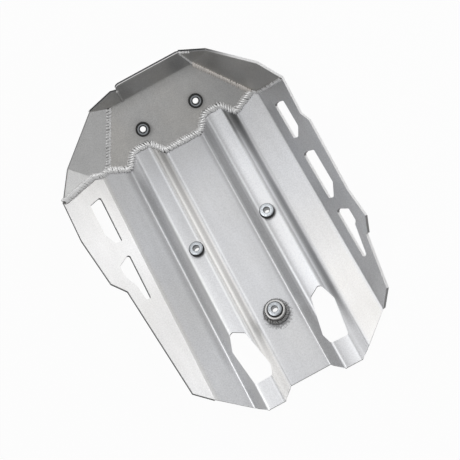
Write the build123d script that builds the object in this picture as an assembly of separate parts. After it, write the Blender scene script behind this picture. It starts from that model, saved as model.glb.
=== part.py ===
from build123d import *
from math import cos, radians, sin, tan
import os

# Motorcycle skid plate, seen from the engine side: a folded main plate, a welded nose
# and five rubber bushes with flanged steel sleeves. Sizes are in millimetres.
# +X is the right-hand side of the machine, +Y points to its front wheel and +Z points up
# to the engine. The origin is on the axis of the rear boss, on the underside of the plate.

# Sheet
SHEET = 4.0                 # thickness of every sheet
BEND_INSIDE = 4.0           # radius on the inner side of a bend

# Main plate, across the machine
CENTRE_FLAT_HALF = 29.5     # centre line to the foot of a rib
RIB_WALL_RUN = 15.5         # width of a sloping rib wall, seen from above
RIB_TOP_WIDTH = 25.0
RIB_HEIGHT = 10.0
OUTER_FLAT_WIDTH = 41.0     # rib foot to the side bend, seen from above
OUTER_FLAT_TILT = 13.0      # degrees from level
LEFT_WALL_TILT = 30.0
RIGHT_WALL_TILT = 55.0
WALL_BLANK = 90.0           # width of a side wall before its edge is cut

# Main plate, along the machine
SEAM_Y = 287.0              # origin forward to the foot of the nose
REAR_EDGE = 98.5            # origin back to the edge of the centre flat
RIB_OVERHANG = 16.5         # the ribs end this much further back
OUTER_REAR_EDGE = 101.5     # origin back to the outer flats, at the rib foot
REAR_CORNER = 33.0          # the outer flats are cut forward by this much at the bend

# Cut edges of the side walls, as (along the machine, up the wall from its bend)
LEFT_RIM = [(-50, 24.5), (116, 43), (134, 60), (208, 71), (300, 70)]
RIGHT_RIM = [
    (-52, 26.5),
    (22, 45.5),
    (21, 49.5),
    (40, 63),
    (84, 58),
    (197.5, 63.5),
    (215.5, 55),
    (300, 62),
]

# Slots in the side walls, drawn the same way
LEFT_SLOTS = [
    [(265, 16), (190, 16), (190, 27), (207, 36), (256, 36)],
    [(169, 16), (96, 16), (96, 23.5), (119, 27), (138, 36.5), (155, 36.5)],
]
RIGHT_SLOTS = [
    [(258.5, 17.5), (200, 17.5), (195.5, 27), (206, 38.5), (250, 38.5), (257, 26)],
    [(172, 17.5), (98, 17.5), (93.5, 27.5), (109, 41.5), (163, 41.5), (171, 26)],
    [(76, 17.5), (3, 17.5), (0.5, 22), (2.5, 26), (43, 37), (46, 42), (65, 42), (76.5, 24)],
]
SLOT_CORNER = 3.0

# Six-sided hole in the rear of each rib, as (out from the centre line, along the machine)
RIB_HOLE = [(65, 1.5), (50, -7.5), (39.5, -60.5), (44, -76), (70, -77), (77.5, -22), (70, -0.5)]
RIB_HOLE_CORNER = 4.0

# Nose and front flange
NOSE_TILT = 30.0
NOSE_LENGTH = 91.0          # seam to the flange bend, along the slope
FLANGE_TILT = 80.0
FLANGE_HEIGHT = 37.0
FLANGE_LEFT = 48.5          # centre line to the butt joint with the left flap
FLANGE_CORNER = 7.0         # rounding of the flange's top corners

# Cheeks: how each panel faces in plan (degrees from straight back) and its tilt
LEFT_CHEEK_FOOT = 115.0     # centre line to the left corner of the seam
LEFT_CHEEK_BEARING = 26.7
LEFT_CHEEK_TILT = 44.0
LEFT_CORNER_BEARING = 63.8
LEFT_CORNER_TILT = 41.0
RIGHT_CHEEK_FOOT = 120.0
RIGHT_CHEEK_BEARING = -44.7
RIGHT_CHEEK_TILT = 79.7
RIGHT_FLAP_BEARING = -29.0
RIGHT_FLAP_TILT = 90.0

# Heights of the rim at its corners, left to right
LEFT_WALL_RIM = 48.5
LEFT_FOLD_RIM = 45.2
LEFT_FLAP_RIM = 62.5
LEFT_NOTCH_RIM = 78.0
RIGHT_FOLD_RIM = 88.0
RIGHT_CHEEK_RIM = 84.0
RIGHT_WALL_RIM = 62.0
LEFT_FOLD_X = 161.3         # centre line to the fold in the left cheek, at the rim
LEFT_NOTCH_X = 57.0         # centre line to the end of the left flap's rim
NOTCH_DEPTH = 3.0           # the notch beside the flange drops this far below the rim
RIGHT_CHEEK_X = 139.0       # centre line to the corner in the right cheek's rim

# Bushes and sleeves
BORE = 8.5                  # for M8 bolts
SLEEVE_OD = 12.0
SLEEVE_CHAMFER = 1.4
SLEEVE_FLANGE_OD = 19.0
SLEEVE_FLANGE = 2.0
GROMMET_OD = 21.0
GROMMET_STANDING = 6.0      # rubber above the sheet
GROMMET_HOLE = 16.0         # hole in the sheet for the rubber neck
GROMMET_BELOW = 2.0         # rubber neck below the sheet
MID_BUSH_X = 55.0
MID_BUSH_Y = 128.5
FRONT_BUSH_X = 42.5
FRONT_BUSH_UP = 43.0        # seam to the front bushes, along the slope

# Rear boss
BOSS_OD = 27.0
BOSS_ID = 22.0
HEAD_HOLE = 20.0            # hole in the sheet under the boss, for the bolt's head
BOSS_HEIGHT = 13.0          # tube above the sheet
REAR_GROMMET_FOOT = 3.0     # rubber starts this far above the sheet
REAR_GROMMET_PROUD = 1.0    # rubber stands this far out of the tube
REAR_FLANGE = 2.5
BOSS_WELD_LEG = 4.0

# Weld beads
SEAM_BEAD = 3.4             # bead radius
CHEEK_BEAD = 2.8
WALL_BEAD = 3.6
FLANGE_BEAD = 1.6
BLOB = 2.6                  # radius of the weld blobs on the rim
BLOB_STEP = 8.0             # spacing of the blobs along the right flap's rim
BLOB_COUNT = 3

ENDLESS = 500.0             # reach of a sheet before it is trimmed


def facing(bearing, tilt):
    """Direction a panel's inner face looks in."""
    b = radians(bearing)
    t = radians(tilt)
    return Vector(sin(b) * sin(t), -cos(b) * sin(t), cos(t))


def panel(point, bearing, tilt):
    """Inner face of a flat panel: local x runs level, local y runs up the slope."""
    b = radians(bearing)
    return Plane(origin=point, x_dir=(cos(b), sin(b), 0), z_dir=facing(bearing, tilt))


def outer(face):
    """Outer face of the sheet whose inner face is given."""
    return face.offset(-SHEET)


def meet(a, b, c):
    """Point shared by three planes."""
    u = b.z_dir.cross(c.z_dir)
    v = c.z_dir.cross(a.z_dir)
    w = a.z_dir.cross(b.z_dir)
    sum_of = u * a.origin.dot(a.z_dir) + v * b.origin.dot(b.z_dir) + w * c.origin.dot(c.z_dir)
    return sum_of * (1 / a.z_dir.dot(u))


def level(z):
    """Level plane at a height."""
    return Plane(origin=(0, 0, z), z_dir=(0, 0, 1))


def across(x):
    """Upright plane square to X."""
    return Plane(origin=(x, 0, 0), z_dir=(1, 0, 0))


def opposite(plane):
    """The same plane, facing the other way."""
    return Plane(origin=plane.origin, z_dir=plane.z_dir * -1)


def keep(solid, *planes):
    """Part of a solid that lies on the side each plane faces."""
    for plane in planes:
        solid = split(solid, bisect_by=plane, keep=Keep.TOP)
    return solid


def mitre(face, other, corner):
    """Plane halving the angle between two panels, facing the first of them."""
    return Plane(origin=corner, z_dir=(other.z_dir - face.z_dir))


def below(face, p, q):
    """Plane square to a panel through two rim points, facing down the panel."""
    normal = face.z_dir.cross(q - p)
    if normal.Z > 0:
        normal = normal * -1
    return Plane(origin=p, z_dir=normal)


def folded(points):
    """Section of a folded sheet, drawn from the corners of its inner face."""
    last = len(points) - 1
    under = []
    bends = []
    for i, p in enumerate(points):
        run_in = p - points[i - 1] if i > 0 else points[1] - p
        run_out = points[i + 1] - p if i < last else run_in
        up_in = Vector(-run_in.Y, run_in.X).normalized()
        up_out = Vector(-run_out.Y, run_out.X).normalized()
        up = (up_in + up_out).normalized()
        q = p - up * (SHEET / up.dot(up_in))
        under.append(q)
        if 0 < i < last:
            hollow_above = run_in.X * run_out.Y - run_in.Y * run_out.X > 0
            bends.append((p, BEND_INSIDE if hollow_above else BEND_INSIDE + SHEET))
            bends.append((q, BEND_INSIDE + SHEET if hollow_above else BEND_INSIDE))
    section = make_face(Polyline(*points, *reversed(under), close=True))
    for corner, radius in bends:
        section = fillet(section.vertices().sort_by_distance(corner)[0], radius)
    return section


def fold(a, b, corner):
    """Endless sheet folded from one panel to the next along the line through a corner."""
    axis = a.z_dir.cross(b.z_dir).normalized()
    section = Plane(origin=corner, z_dir=axis)
    far_a = section.to_local_coords(corner + axis.cross(a.z_dir) * ENDLESS)
    far_b = section.to_local_coords(corner + b.z_dir.cross(axis) * ENDLESS)
    profile = folded([Vector(far_a.X, far_a.Y), Vector(0, 0), Vector(far_b.X, far_b.Y)])
    return extrude(section * profile, amount=ENDLESS, both=True)


def bead(points, radius, *plates):
    """Weld bead along a path, less the plates it lies on."""
    solid = None
    for start, end in zip(points, points[1:]):
        run = extrude(Plane(origin=start, z_dir=end - start) * Circle(radius), amount=(end - start).length)
        solid = run if solid is None else solid + Pos(start) * Sphere(radius) + run
    for plate in plates:
        solid = solid - plate
    return solid.solids().sort_by(SortBy.VOLUME)[-1]


def plug(seat, low, high, diameter):
    """Cylinder on a seat plane, between two heights above it."""
    return extrude(seat.offset(low) * Circle(diameter / 2), amount=high - low)


def ring(seat, low, high, outside, inside):
    """Tube on a seat plane, between two heights above it."""
    return plug(seat, low, high, outside) - plug(seat, low, high, inside)


# Named heights and widths that follow from the driving sizes
rib_in = CENTRE_FLAT_HALF
rib_top_in = rib_in + RIB_WALL_RUN
rib_top_out = rib_top_in + RIB_TOP_WIDTH
rib_out = rib_top_out + RIB_WALL_RUN
rib_z = SHEET + RIB_HEIGHT
side_bend = rib_out + OUTER_FLAT_WIDTH
side_z = SHEET + OUTER_FLAT_WIDTH * tan(radians(OUTER_FLAT_TILT))


def wall_point(side, y, s):
    """Point on the inner face of a side wall, s up the slope from its bend."""
    tilt = radians(LEFT_WALL_TILT if side < 0 else RIGHT_WALL_TILT)
    return Vector(side * (side_bend + s * cos(tilt)), y, side_z + s * sin(tilt))


# Inner faces of all panels
centre_flat = level(SHEET)
left_flat = panel((-rib_out, 0, SHEET), 90, OUTER_FLAT_TILT)
right_flat = panel((rib_out, 0, SHEET), -90, OUTER_FLAT_TILT)
left_wall = panel((-side_bend, 0, side_z), 90, LEFT_WALL_TILT)
right_wall = panel((side_bend, 0, side_z), -90, RIGHT_WALL_TILT)
nose = panel((0, SEAM_Y, SHEET), 0, NOSE_TILT)
flange_foot = nose.from_local_coords(Vector(0, NOSE_LENGTH, 0))
flange = panel(flange_foot, 0, FLANGE_TILT)
left_foot = meet(nose, left_flat, across(-LEFT_CHEEK_FOOT))
right_foot = meet(nose, right_flat, across(RIGHT_CHEEK_FOOT))
left_cheek_face = panel(left_foot, LEFT_CHEEK_BEARING, LEFT_CHEEK_TILT)
right_cheek_face = panel(right_foot, RIGHT_CHEEK_BEARING, RIGHT_CHEEK_TILT)
left_top = meet(nose, flange, left_cheek_face)
right_top = meet(nose, flange, right_cheek_face)
right_flap = panel(right_top, RIGHT_FLAP_BEARING, RIGHT_FLAP_TILT)

# Corners of the rim, left to right
flange_rim_z = flange.from_local_coords(Vector(0, FLANGE_HEIGHT, 0)).Z
left_fold_rim = meet(left_cheek_face, level(LEFT_FOLD_RIM), across(-LEFT_FOLD_X))
left_corner = panel(left_fold_rim, LEFT_CORNER_BEARING, LEFT_CORNER_TILT)
left_wall_rim = meet(left_corner, left_wall, level(LEFT_WALL_RIM))
left_flap_rim = meet(left_cheek_face, flange, level(LEFT_FLAP_RIM))
left_notch_rim = meet(flange, across(-LEFT_NOTCH_X), level(LEFT_NOTCH_RIM))
left_notch = meet(flange, across(-FLANGE_LEFT), level(LEFT_NOTCH_RIM - NOTCH_DEPTH))
right_flange_rim = meet(flange, right_flap, level(flange_rim_z))
right_fold_rim = meet(right_flap, right_cheek_face, level(RIGHT_FOLD_RIM))
right_cheek_rim = meet(right_cheek_face, across(RIGHT_CHEEK_X), level(RIGHT_CHEEK_RIM))
right_wall_rim = meet(right_cheek_face, right_wall, level(RIGHT_WALL_RIM))


def outline(points, corner):
    """Flat face through points in space, all of its corners rounded."""
    face = make_face(Polyline(*points, close=True))
    return fillet(face.vertices(), corner)


# Main plate: one section along the machine, then cut at both ends
left_lip = wall_point(-1, 0, WALL_BLANK)
right_lip = wall_point(1, 0, WALL_BLANK)
across_points = [
    Vector(left_lip.X, left_lip.Z),
    Vector(-side_bend, side_z),
    Vector(-rib_out, SHEET),
    Vector(-rib_top_out, rib_z),
    Vector(-rib_top_in, rib_z),
    Vector(-rib_in, SHEET),
    Vector(rib_in, SHEET),
    Vector(rib_top_in, rib_z),
    Vector(rib_top_out, rib_z),
    Vector(rib_out, SHEET),
    Vector(side_bend, side_z),
    Vector(right_lip.X, right_lip.Z),
]
front_end = Plane.XZ.offset(-SEAM_Y - 60)
main_plate = extrude(front_end * folded(across_points), amount=SEAM_Y + REAR_EDGE + 120)
main_plate = keep(main_plate, nose, left_cheek_face, mitre(left_wall, left_corner, left_wall_rim))
right_side = keep(main_plate, across(side_bend), mitre(right_wall, right_cheek_face, right_wall_rim))
main_plate = keep(main_plate, opposite(across(side_bend)), right_cheek_face) + right_side

# Rear edge: the ribs run past the centre flat and the outer corners are cut off
rear_half = [
    (rib_in, -REAR_EDGE),
    (rib_top_in, -REAR_EDGE - RIB_OVERHANG),
    (rib_top_out, -REAR_EDGE - RIB_OVERHANG),
    (rib_out, -OUTER_REAR_EDGE),
    (side_bend, REAR_CORNER - OUTER_REAR_EDGE),
    (side_bend + 100, REAR_CORNER - OUTER_REAR_EDGE),
    (side_bend + 100, -REAR_EDGE - 100),
]
rear_line = rear_half + [(-x, y) for x, y in reversed(rear_half)]
rear_cut = extrude(make_face(Polyline(*rear_line, close=True)), amount=200, both=True)
main_plate = main_plate - rear_cut

# Cut edges of the side walls, and their slots
corner_y = REAR_CORNER - OUTER_REAR_EDGE
for side, rim in ((-1, LEFT_RIM), (1, RIGHT_RIM)):
    path = [(corner_y, 0)] + rim + [(rim[-1][0], 160), (-200, 160), (-200, 0)]
    face = make_face(Polyline(*[wall_point(side, y, s) for y, s in path], close=True))
    main_plate = main_plate - extrude(face, amount=3 * SHEET, both=True)
for side, slots in ((-1, LEFT_SLOTS), (1, RIGHT_SLOTS)):
    for slot in slots:
        face = outline([wall_point(side, y, s) for y, s in slot], SLOT_CORNER)
        main_plate = main_plate - extrude(face, amount=2 * SHEET, both=True)

# Six-sided holes in the ribs
for side in (-1, 1):
    face = outline([Vector(side * x, y, 0) for x, y in RIB_HOLE], RIB_HOLE_CORNER)
    main_plate = main_plate - extrude(face, amount=100, both=True)

# Nose plate: the sloping panel with the flange folded up from its front
nose_sheet = fold(nose, flange, flange_foot)
flange_right = flange.to_local_coords(right_flange_rim).X
flange_foot_right = flange.to_local_coords(right_top).X
flange_face = make_face(
    Polyline(
        (-FLANGE_LEFT, -20),
        (-FLANGE_LEFT, FLANGE_HEIGHT),
        (flange_right, FLANGE_HEIGHT),
        (flange_foot_right + 20, -20),
        close=True,
    )
)
for x in (-FLANGE_LEFT, flange_right):
    corner = flange_face.vertices().sort_by_distance((x, FLANGE_HEIGHT, 0))[0]
    flange_face = fillet(corner, FLANGE_CORNER)
flange_part = keep(
    nose_sheet,
    mitre(flange, nose, flange_foot),
    mitre(flange, right_flap, right_top),
) & extrude(flange * flange_face, amount=3 * SHEET, both=True)
nose_part = keep(
    nose_sheet,
    mitre(nose, flange, flange_foot),
    outer(centre_flat),
    outer(left_flat),
    outer(right_flat),
    mitre(nose, left_cheek_face, left_top),
    mitre(nose, right_cheek_face, right_top),
)
nose_plate = nose_part + flange_part

# Left cheek: a flap in line with the flange, the main facet and a corner facet
middle = (left_fold_rim + left_flap_rim) * 0.5
to_front = left_flap_rim - left_fold_rim
left_front_sheet = fold(left_cheek_face, flange, left_top)
left_back_sheet = fold(left_corner, left_cheek_face, left_fold_rim)
left_trims = [
    mitre(left_cheek_face, nose, left_top),
    outer(left_flat),
    outer(left_wall),
    below(left_cheek_face, left_fold_rim, left_flap_rim),
]
left_flap_part = keep(
    left_front_sheet,
    mitre(flange, left_cheek_face, left_top),
    mitre(flange, nose, flange_foot),
    opposite(across(-FLANGE_LEFT)),
    below(flange, left_flap_rim, left_notch_rim),
    below(flange, left_notch_rim, left_notch),
)
left_main_front = keep(
    left_front_sheet,
    mitre(left_cheek_face, flange, left_top),
    Plane(origin=middle, z_dir=to_front),
    *left_trims,
)
left_main_back = keep(
    left_back_sheet,
    mitre(left_cheek_face, left_corner, left_fold_rim),
    Plane(origin=middle, z_dir=to_front * -1),
    *left_trims,
)
left_corner_part = keep(
    left_back_sheet,
    mitre(left_corner, left_cheek_face, left_fold_rim),
    mitre(left_corner, left_wall, left_wall_rim),
    below(left_corner, left_wall_rim, left_fold_rim),
)
left_cheek = left_flap_part + left_main_front + left_main_back + left_corner_part - main_plate

# Right cheek: an upright flap beside the flange and one steep facet
right_sheet = fold(right_flap, right_cheek_face, right_top)
right_flap_part = keep(
    right_sheet,
    mitre(right_flap, right_cheek_face, right_top),
    mitre(right_flap, flange, right_top),
    below(right_flap, right_flange_rim, right_fold_rim),
)
right_main_part = keep(
    right_sheet,
    mitre(right_cheek_face, right_flap, right_top),
    mitre(right_cheek_face, nose, right_top),
    mitre(right_cheek_face, right_wall, right_wall_rim),
    outer(right_flat),
    below(right_cheek_face, right_fold_rim, right_cheek_rim),
    below(right_cheek_face, right_cheek_rim, right_wall_rim),
)
right_cheek = right_flap_part + right_main_part - nose_plate

# Seats of the five bushes and the holes for them
mid_seats = {}
front_seats = {}
for name, side in (("left", -1), ("right", 1)):
    mid_seats[name] = Plane(origin=(side * MID_BUSH_X, MID_BUSH_Y, rib_z))
    spot = nose.from_local_coords(Vector(side * FRONT_BUSH_X, FRONT_BUSH_UP, 0))
    front_seats[name] = Plane(origin=spot, x_dir=(1, 0, 0), z_dir=nose.z_dir)
    main_plate = main_plate - plug(mid_seats[name], -2 * SHEET, SHEET, GROMMET_HOLE)
    nose_plate = nose_plate - plug(front_seats[name], -2 * SHEET, SHEET, GROMMET_HOLE)
rear_seat = Plane(origin=(0, 0, SHEET))
main_plate = main_plate - plug(rear_seat, -2 * SHEET, SHEET, HEAD_HOLE)

# Rear boss and the bead round its foot
rear_boss_tube = ring(rear_seat, 0, BOSS_HEIGHT, BOSS_OD, BOSS_ID)
upright = (Align.CENTER, Align.CENTER, Align.MIN)
foot = Cone(BOSS_OD / 2 + BOSS_WELD_LEG, BOSS_OD / 2, BOSS_WELD_LEG, align=upright)
rear_boss_weld = rear_seat * foot - plug(rear_seat, -1, BOSS_WELD_LEG + 1, BOSS_OD)


def bush(seat):
    """Rubber grommet and flanged sleeve through a sheet whose inner face is the seat."""
    bottom = -SHEET - GROMMET_BELOW
    rubber = ring(seat, 0, GROMMET_STANDING, GROMMET_OD, SLEEVE_OD)
    rubber = rubber + ring(seat, bottom, 0, GROMMET_HOLE, SLEEVE_OD)
    sleeve = ring(seat, bottom, GROMMET_STANDING, SLEEVE_OD, BORE)
    top = GROMMET_STANDING + SLEEVE_FLANGE
    sleeve = sleeve + ring(seat, GROMMET_STANDING, top, SLEEVE_FLANGE_OD, BORE)
    return rubber, eased(sleeve, seat)


def eased(sleeve, seat):
    """Sleeve with the mouth of its bore countersunk."""
    mouth = sleeve.edges().filter_by(GeomType.CIRCLE)
    mouth = [e for e in mouth if abs(e.radius - BORE / 2) < 0.01]
    upper = max(mouth, key=lambda e: (e.arc_center - seat.origin).dot(seat.z_dir))
    return chamfer(upper, SLEEVE_CHAMFER)


parts = {}
for name in ("left", "right"):
    parts[f"mid_{name}_grommet"], parts[f"mid_{name}_sleeve"] = bush(mid_seats[name])
    parts[f"front_{name}_grommet"], parts[f"front_{name}_sleeve"] = bush(front_seats[name])

# Rear bush, pressed into the top of the boss
rear_top = BOSS_HEIGHT + REAR_GROMMET_PROUD
parts["rear_grommet"] = ring(rear_seat, REAR_GROMMET_FOOT, rear_top, BOSS_ID, SLEEVE_OD)
rear_sleeve = ring(rear_seat, REAR_GROMMET_FOOT, rear_top, SLEEVE_OD, BORE)
rear_sleeve = rear_sleeve + ring(rear_seat, rear_top, rear_top + REAR_FLANGE, SLEEVE_FLANGE_OD, BORE)
parts["rear_sleeve"] = eased(rear_sleeve, rear_seat)

# Seam bead: up and down over both ribs along the foot of the nose
def on_seam(x, z):
    return Vector(x, SEAM_Y + (z - SHEET) / tan(radians(NOSE_TILT)), z)


seam = [left_foot]
for x, z in ((-rib_out, SHEET), (-rib_top_out, rib_z), (-rib_top_in, rib_z), (-rib_in, SHEET)):
    seam.append(on_seam(x, z))
for x, z in ((rib_in, SHEET), (rib_top_in, rib_z), (rib_top_out, rib_z), (rib_out, SHEET)):
    seam.append(on_seam(x, z))
seam.append(right_foot)
nose_seam_weld = bead(seam, SEAM_BEAD, main_plate, nose_plate, left_cheek, right_cheek)
left_cheek_weld = bead(
    [left_foot, left_top],
    CHEEK_BEAD, left_cheek, nose_plate, main_plate, nose_seam_weld,
)
right_cheek_weld = bead(
    [right_foot, right_top],
    CHEEK_BEAD, right_cheek, nose_plate, main_plate, nose_seam_weld,
)

left_bend_end = meet(left_cheek_face, left_flat, left_wall)
left_fold_foot = meet(left_cheek_face, left_corner, left_wall)
right_bend_end = meet(right_cheek_face, right_flat, right_wall)
left_wall_weld = bead(
    [left_foot, left_bend_end, left_fold_foot, left_wall_rim],
    WALL_BEAD, main_plate, nose_plate, left_cheek, nose_seam_weld, left_cheek_weld,
)
right_wall_weld = bead(
    [right_foot, right_bend_end, right_wall_rim],
    WALL_BEAD, main_plate, nose_plate, right_cheek, nose_seam_weld, right_cheek_weld,
)
joint_foot = meet(nose, flange, across(-FLANGE_LEFT))
left_flange_weld = bead([joint_foot, left_notch], FLANGE_BEAD, left_cheek, nose_plate)
right_flange_weld = bead(
    [right_top, right_flange_rim],
    FLANGE_BEAD, right_cheek, nose_plate, right_cheek_weld,
)

# Blobs where the flange welds end on the rim
sunk = Vector(0, 0, BLOB / 2)
notch_blob = Plane(origin=left_notch - sunk, z_dir=flange.z_dir) * Sphere(BLOB)
left_flange_weld = left_flange_weld + (notch_blob - left_cheek - nose_plate)
rim_step = (right_fold_rim - right_flange_rim).normalized() * BLOB_STEP
for i in range(BLOB_COUNT):
    spot = Plane(origin=right_flange_rim + rim_step * i - sunk, z_dir=right_flap.z_dir)
    right_flange_weld = right_flange_weld + (spot * Sphere(BLOB) - right_cheek - nose_plate)

parts["main_plate"] = main_plate
parts["nose_plate"] = nose_plate
parts["left_cheek"] = left_cheek
parts["right_cheek"] = right_cheek
parts["nose_seam_weld"] = nose_seam_weld
parts["left_cheek_weld"] = left_cheek_weld
parts["right_cheek_weld"] = right_cheek_weld
parts["left_wall_weld"] = left_wall_weld
parts["right_wall_weld"] = right_wall_weld
parts["left_flange_weld"] = left_flange_weld
parts["right_flange_weld"] = right_flange_weld
parts["rear_boss_tube"] = rear_boss_tube
parts["rear_boss_weld"] = rear_boss_weld

os.makedirs("parts", exist_ok=True)
for name, shape in parts.items():
    shape.label = name
    export_step(shape, f"parts/{name}.step")
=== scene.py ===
# %% [markdown]
# # A welded skid plate
# This lesson dresses a motorcycle skid plate: a folded aluminium sheet with two raised ribs, a
# welded nose, and five rubber bushes that carry steel sleeves for the bolts. The solids are
# loaded first and stay where they are. Every piece made here is placed from them, in metres.

# %% Load the plate
import random
from math import cos, pi, radians, sin

import bmesh
import bpy
from mathutils import Matrix, Vector
from mathutils.bvhtree import BVHTree


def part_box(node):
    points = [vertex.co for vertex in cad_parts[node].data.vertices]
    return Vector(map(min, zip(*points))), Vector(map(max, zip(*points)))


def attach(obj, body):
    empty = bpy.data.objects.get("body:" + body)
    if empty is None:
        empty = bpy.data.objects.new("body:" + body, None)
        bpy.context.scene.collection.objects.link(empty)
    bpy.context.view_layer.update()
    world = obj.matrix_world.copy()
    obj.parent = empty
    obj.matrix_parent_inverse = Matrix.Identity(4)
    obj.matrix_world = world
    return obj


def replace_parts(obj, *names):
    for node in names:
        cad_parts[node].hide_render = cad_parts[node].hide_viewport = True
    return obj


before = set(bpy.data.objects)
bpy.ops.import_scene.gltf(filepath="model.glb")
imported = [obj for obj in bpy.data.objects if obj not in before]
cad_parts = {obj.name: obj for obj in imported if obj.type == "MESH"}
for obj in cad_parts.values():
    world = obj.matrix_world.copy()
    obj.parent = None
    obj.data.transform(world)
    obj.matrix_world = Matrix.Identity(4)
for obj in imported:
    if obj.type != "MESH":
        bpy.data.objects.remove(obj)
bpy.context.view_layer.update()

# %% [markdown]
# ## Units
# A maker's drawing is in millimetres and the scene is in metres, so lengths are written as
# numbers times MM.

MM = 0.001
SHEET = 4 * MM

# %% [markdown]
# ## The camera
# The plate is seen from above and a little behind, and it is rolled in the picture so that its
# nose points up and to the left. A camera can be aimed by a constraint and rolled by hand. Here
# its three axes are worked out from the lean and the roll, so both stay plain numbers. A long
# lens keeps the sides of the plate nearly parallel.

# %% Camera
TARGET = Vector((-2.1, 134.6, 4)) * MM
DISTANCE = 1657 * MM
LEAN = radians(20)
ROLL = radians(-28.52)
LENS, SENSOR = 93.5, 36

towards = Vector((0, -sin(LEAN), cos(LEAN)))
level_right = Vector((1, 0, 0))
level_up = Vector((0, cos(LEAN), sin(LEAN)))
right = level_right * cos(ROLL) + level_up * sin(ROLL)
upward = level_up * cos(ROLL) - level_right * sin(ROLL)
camera = bpy.data.objects.new("camera", bpy.data.cameras.new("camera"))
bpy.context.collection.objects.link(camera)
camera.data.lens = LENS
camera.data.sensor_width = SENSOR
turn = Matrix((right, upward, towards)).transposed().to_4x4()
camera.matrix_world = Matrix.Translation(TARGET + towards * DISTANCE) @ turn
bpy.context.scene.camera = camera
print("camera at", camera.matrix_world.translation)

# %% [markdown]
# ## Shader sums
# A finish is the sum of many patterns, and wiring each sum by hand hides what it means. So a
# signal wraps the output of a node, and each operator on it adds one Math node: a mask can be
# used as if it were a number. Every other node comes from one method, which sets the options of
# a node first and then its sockets.

# %% The signal class
class Signal:
    """An output of a shader node that takes part in sums."""

    def __init__(self, tree, output=None):
        self.tree = tree
        self.output = output

    def node(self, kind, options=None, sockets=None, out=0):
        """Add a node, set its options and then its sockets, and give one of its outputs."""
        made = self.tree.nodes.new(kind)
        for name, value in (options or {}).items():
            if name == "stops":
                set_stops(made.color_ramp, value)
            else:
                setattr(made, name, value)
        for name, value in (sockets or {}).items():
            if isinstance(value, Signal):
                self.tree.links.new(value.output, made.inputs[name])
            else:
                made.inputs[name].default_value = value
        return Signal(self.tree, made.outputs[out]) if made.outputs else made

    def maths(self, operation, *values):
        return self.node("ShaderNodeMath", {"operation": operation}, dict(enumerate(values)))

    def __add__(self, other):
        return self.maths("ADD", self, other)

    def __mul__(self, other):
        return self.maths("MULTIPLY", self, other)

    def __sub__(self, other):
        return self.maths("SUBTRACT", self, other)

    def __rsub__(self, other):
        return self.maths("SUBTRACT", other, self)

    __radd__ = __add__
    __rmul__ = __mul__


def set_stops(ramp, stops):
    """Give a colour ramp its stops, as (place, brightness) pairs."""
    while len(ramp.elements) < len(stops):
        ramp.elements.new(1.0)
    for element, (spot, brightness) in zip(ramp.elements, stops):
        element.position = spot
        element.color = (brightness, brightness, brightness, 1)


# %% [markdown]
# ## Patterns and masks
# Metal is never one even colour: it has clouds, grain and scratches, each of its own size. All
# of them start from Object coordinates, so that a millimetre in the pattern is a millimetre on
# the plate. Noise can be stretched into streaks, and a soft step turns any signal into a mask.

# %% Patterns and masks
def coordinate(at, axis):
    """One coordinate of a place, "X", "Y" or "Z", as a signal."""
    return at.node("ShaderNodeSeparateXYZ", sockets={"Vector": at}, out=axis)


def noise(at, scale, detail=3.0, roughness=0.5):
    """Cloudy signal around 0.5, with features of 1 / scale metres."""
    sockets = {"Vector": at, "Scale": scale, "Detail": detail, "Roughness": roughness}
    return at.node("ShaderNodeTexNoise", sockets=sockets)


def stretched(at, sizes, turned=(0, 0, 0)):
    """Places scaled along their axes and then turned."""
    return at.node("ShaderNodeMapping", sockets={"Vector": at, "Scale": sizes, "Rotation": turned})


def between(signal, low, high):
    """Soft step of a signal: 0 up to low, and 1 from high on."""
    options = {"interpolation_type": "SMOOTHSTEP"}
    return signal.node("ShaderNodeMapRange", options, {"Value": signal, 1: low, 2: high})


def near(signal, middle, inner, outer):
    """Mask that is 1 within inner of the middle, and 0 beyond outer."""
    return 1 - between(signal.maths("ABSOLUTE", signal - middle), inner, outer)


# %% [markdown]
# ## Colours and shaders
# A Math node turns a colour grey, so colours go through a Mix node. Its sockets come in sets,
# one for each kind of value, and the two colours are numbers 6 and 7. The bumps of a surface are
# a height signal times a distance in metres, which keeps them the right size.

# %% Colours and shaders
COLOUR_A, COLOUR_B, COLOUR_OUT = 6, 7, 2
FINE_BUMP = 0.1 * MM


def grey(value, tint=(1, 1, 1)):
    """A tinted grey, as a colour socket wants it."""
    return (value * tint[0], value * tint[1], value * tint[2], 1)


def blend(share, first, second, how="MIX"):
    """Mix two colours by a share from 0 to 1. The share or the first colour is a signal."""
    maker = share if isinstance(share, Signal) else first
    options = {"data_type": "RGBA", "blend_type": how}
    sockets = {0: share, COLOUR_A: first, COLOUR_B: second}
    return maker.node("ShaderNodeMix", options, sockets, out=COLOUR_OUT)


def bumps(height, strength, distance=FINE_BUMP, over=None):
    """Bumps from a height signal, as deep as the distance where the height is 1."""
    sockets = {"Strength": strength, "Distance": distance, "Height": height}
    if over:
        sockets["Normal"] = over
    return height.node("ShaderNodeBump", sockets=sockets)


def new_finish(name):
    """A new material, and its Object coordinates as a signal."""
    material = bpy.data.materials.new(name)
    material.use_nodes = True
    at = Signal(material.node_tree).node("ShaderNodeTexCoord", out="Object")
    return material, at


def feed(material, **values):
    """Link signals to the sockets of the material's shader, and set numbers on them."""
    tree = material.node_tree
    for name, value in values.items():
        socket = tree.nodes["Principled BSDF"].inputs[name.replace("_", " ")]
        if isinstance(value, Signal):
            tree.links.new(value.output, socket)
        else:
            socket.default_value = value
    print(material.name, "has", len(tree.nodes), "nodes")
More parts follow.
